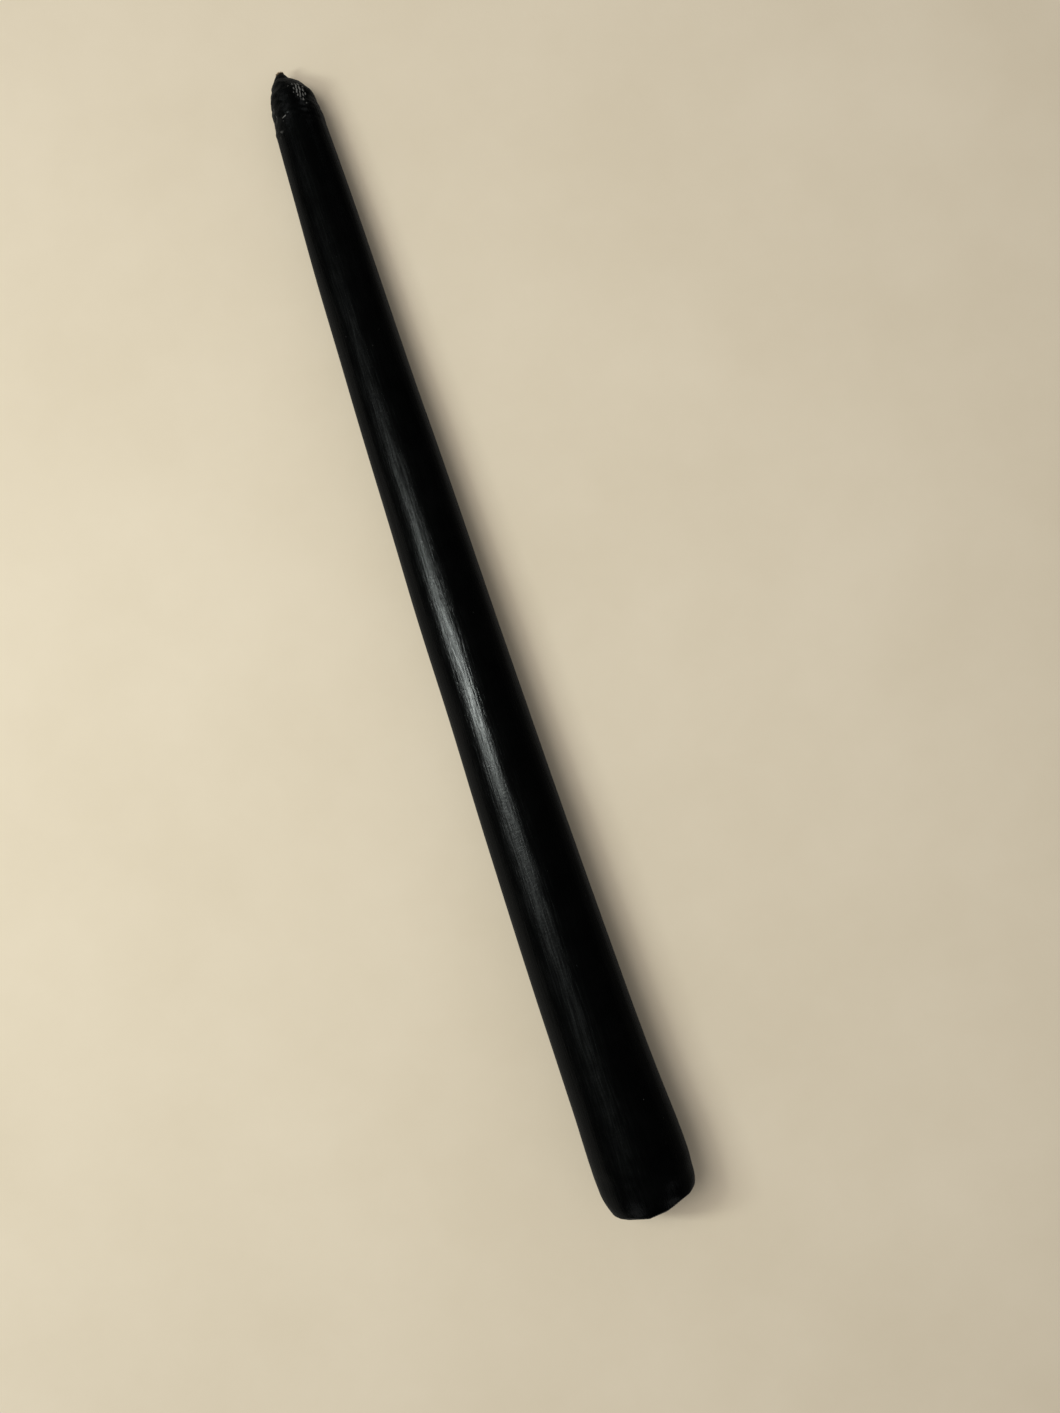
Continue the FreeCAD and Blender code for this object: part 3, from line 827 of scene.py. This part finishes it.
def make_fray_tree():
    """Short bent fibres standing out of a surface, as on a cut wick."""
    tree, wire, given, result = node_group("GeometryNodeTree", "Frayed fibres", (
        ("Surface", "NodeSocketGeometry", None),
        ("Per Square Metre", "NodeSocketFloat", 1.0e8),
        ("Fibre Length", "NodeSocketFloat", 0.0005),
        ("Fibre Radius", "NodeSocketFloat", 0.00001),
        ("Spread", "NodeSocketFloat", 0.6),
        ("Seed", "NodeSocketInt", 1),
        ("Material", "NodeSocketMaterial", None),
    ), ("Fibres", "NodeSocketGeometry"))
    spots = wire.add("GeometryNodeDistributePointsOnFaces", {
        "Mesh": given.outputs["Surface"], "Density": given.outputs["Per Square Metre"],
        "Seed": given.outputs["Seed"]})
    length = given.outputs["Fibre Length"]
    middle = wire.scaled((0.12, 0.05, 0.55), length)
    end = wire.scaled((0.3, 0.1, 0.95), length)
    bend = wire.add("GeometryNodeCurveQuadraticBezier", {
        "Resolution": 5, "Start": (0, 0, 0), "Middle": middle, "End": end}).outputs[0]
    profile = wire.add("GeometryNodeCurvePrimitiveCircle", {
        "Resolution": 4, "Radius": given.outputs["Fibre Radius"]}).outputs[0]
    fibre = wire.add("GeometryNodeCurveToMesh", {
        "Curve": bend, "Profile Curve": profile, "Fill Caps": True}).outputs[0]
    lean = wire.add("FunctionNodeRandomValue", {
        0: (-1, -1, -1), 1: (1, 1, 1), "Seed": given.outputs["Seed"]}, data_type="FLOAT_VECTOR")
    heading = wire.vector(
        "ADD", spots.outputs["Normal"], wire.scaled(lean.outputs[0], given.outputs["Spread"]))
    aimed = wire.add("FunctionNodeAlignRotationToVector", {"Vector": heading}, axis="Z").outputs[0]
    spin = wire.add("FunctionNodeRandomValue", {
        2: 0.0, 3: math.tau, "Seed": given.outputs["Seed"]}, data_type="FLOAT").outputs[1]
    about_fibre = wire.add("ShaderNodeCombineXYZ", {2: spin}).outputs[0]
    spun = wire.add("FunctionNodeRotateRotation", {
        "Rotation": aimed, "Rotate By": about_fibre}, rotation_space="LOCAL").outputs[0]
    size = wire.add("FunctionNodeRandomValue", {
        2: 0.45, 3: 1.15, "Seed": given.outputs["Seed"]}, data_type="FLOAT").outputs[1]
    fibres = wire.add("GeometryNodeInstanceOnPoints", {
        "Points": spots.outputs["Points"], "Instance": fibre, "Rotation": spun, "Scale": size})
    plain = wire.add("GeometryNodeRealizeInstances", {"Geometry": fibres.outputs[0]}).outputs[0]
    painted = wire.add("GeometryNodeSetMaterial", {
        "Geometry": plain, "Material": given.outputs["Material"]}).outputs[0]
    tree.links.new(painted, result.inputs[0])
    return tree


def grow(name, tree, base, settings):
    """The plain mesh that a geometry tree makes from a base mesh."""
    source = bpy.data.objects.new(name, base)
    bpy.context.scene.collection.objects.link(source)
    modifier = source.modifiers.new(tree.name, "NODES")
    modifier.node_group = tree
    for socket in tree.interface.items_tree:
        is_input = socket.item_type == "SOCKET" and socket.in_out == "INPUT"
        if is_input and socket.name in settings:
            modifier[socket.identifier] = settings[socket.name]
    bpy.context.view_layer.update()
    evaluated = source.evaluated_get(bpy.context.evaluated_depsgraph_get())
    mesh = bpy.data.meshes.new_from_object(evaluated)
    mesh.name = name
    bpy.data.objects.remove(source)
    return mesh


def plait_line(number):
    """The middle of one of the three plaits, from the wick's end to the cut at the butt."""
    depth = np.linspace(PLAIT_TOPS[number - 1], LENGTH, PLAIT_POINTS)
    phase = math.tau * ((LENGTH - depth) / PLAIT_PITCH + number / 3)
    drawn_in = 0.7 + 0.3 * fade(depth, 0.0, 1.0)
    across = bow_line(depth) + PLAIT_DIVE * drawn_in * np.sin(2 * phase)
    up = -PLAIT_SWING * drawn_in * np.cos(phase)
    mesh = bpy.data.meshes.new("plait_line")
    points = [tuple(point) for point in to_world(across, up, depth)]
    mesh.from_pydata(points, [(spot, spot + 1) for spot in range(len(points) - 1)], [])
    return mesh


def make_plaits(material):
    """The three plaits of the wick, each a twist of yarns."""
    tree = make_yarn_tree()
    for number in (1, 2, 3):
        settings = {
            "Yarns": YARNS, "Yarn Radius": YARN_RADIUS * MM, "Offset": YARN_OFFSET * MM,
            "Lay": YARN_LAY * MM, "Unevenness": YARN_UNEVENNESS * MM, "Material": material,
        }
        name = f"plaited_cotton_{number}"
        piece = add_piece(name, grow(name, tree, plait_line(number), settings), material)
        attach(piece, "root")
        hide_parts(f"wick_plait_{number}")


def make_fray(material):
    """Loose fibres at the wick's cut end."""
    angle = ring_angles(16)
    radius = np.linspace(FRAY_RADIUS, 0.1, 6)[:, None]
    depth = 0.32 - 0.24 * np.cos(radius / FRAY_RADIUS * math.pi / 2) + 0 * angle
    rings = to_world(bow_line(0.0) + radius * np.cos(angle), radius * np.sin(angle), depth)
    top = rings_to_mesh("wick_top", rings[::-1], (pole_at(0.08, 0.0),))
    settings = {
        "Per Square Metre": FIBRES_PER_SQUARE_METRE, "Fibre Length": FIBRE_LENGTH * MM,
        "Fibre Radius": FIBRE_RADIUS * MM, "Spread": FIBRE_SPREAD, "Seed": 5,
        "Material": material,
    }
    piece = add_piece("wick_fray", grow("wick_fray", make_fray_tree(), top, settings), material)
    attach(piece, "root")


# ---------------------------------------------------------------- build the candle
for make_piece, material, node, slot in (
    (make_coat, make_black_wax(), "overdip_coat", "black_wax"),
    (make_core, make_core_wax(), "body_wax", "core_wax"),
    (make_sheath, make_primed_wax(), "priming_wax", "primed_wax"),
):
    piece = make_piece(material)
    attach(piece, "root")
    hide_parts(node)

COTTON = make_wick_cotton()
make_plaits(COTTON)
make_fray(COTTON)


# ---------------------------------------------------------------- table, light and camera
def make_table():
    """A large flat table top at the height of the floor."""
    corners = [
        (side * TABLE_HALF, end * TABLE_HALF, 0)
        for side, end in ((-1, -1), (1, -1), (1, 1), (-1, 1))
    ]
    mesh = bpy.data.meshes.new("table")
    mesh.from_pydata(corners, [], [(0, 1, 2, 3)])
    mesh.materials.append(make_table_top())
    table = bpy.data.objects.new("table", mesh)
    bpy.context.scene.collection.objects.link(table)


def add_light(name, place, aim, size, power, colour, glossy):
    """A soft rectangular light. glossy is whether the wax mirrors it."""
    lamp = bpy.data.lights.new(name, "AREA")
    lamp.shape = "RECTANGLE"
    lamp.size, lamp.size_y = size
    lamp.energy = power
    lamp.color = colour
    light = bpy.data.objects.new(name, lamp)
    light.location = place
    light.rotation_euler = (Vector(aim) - Vector(place)).to_track_quat("-Z", "Y").to_euler()
    light.visible_glossy = glossy
    bpy.context.scene.collection.objects.link(light)


make_table()
add_light("key", KEY_PLACE, CANDLE_MIDDLE, KEY_SIZE, KEY_POWER, KEY_COLOUR, True)
for side in (-1, 1):
    for end in (-1, 1):
        name = f"panel_{side}_{end}"
        place = (PANEL_ACROSS * side, PANEL_ALONG * end, PANEL_HEIGHT)
        add_light(name, place, CANDLE_MIDDLE, PANEL_SIZE, PANEL_POWER, PANEL_COLOUR, True)
add_light("fill", FILL_PLACE, (0, 0, 0), FILL_SIZE, FILL_POWER, FILL_COLOUR, False)

world = bpy.data.worlds.new("soft_room")
world.use_nodes = True
background = world.node_tree.nodes["Background"]
background.inputs["Color"].default_value = ROOM_COLOUR
background.inputs["Strength"].default_value = ROOM_STRENGTH
bpy.context.scene.world = world
world.cycles_visibility.glossy = False
bpy.context.scene.view_settings.view_transform = "Standard"

view = bpy.data.cameras.new("above")
view.lens = LENS
view.sensor_fit = "VERTICAL"
view.sensor_height = FILM_HEIGHT
camera = bpy.data.objects.new("above", view)
camera.location = CAMERA_PLACE
camera.rotation_euler = (0, 0, math.radians(CAMERA_TURN))
bpy.context.scene.collection.objects.link(camera)
bpy.context.scene.camera = camera
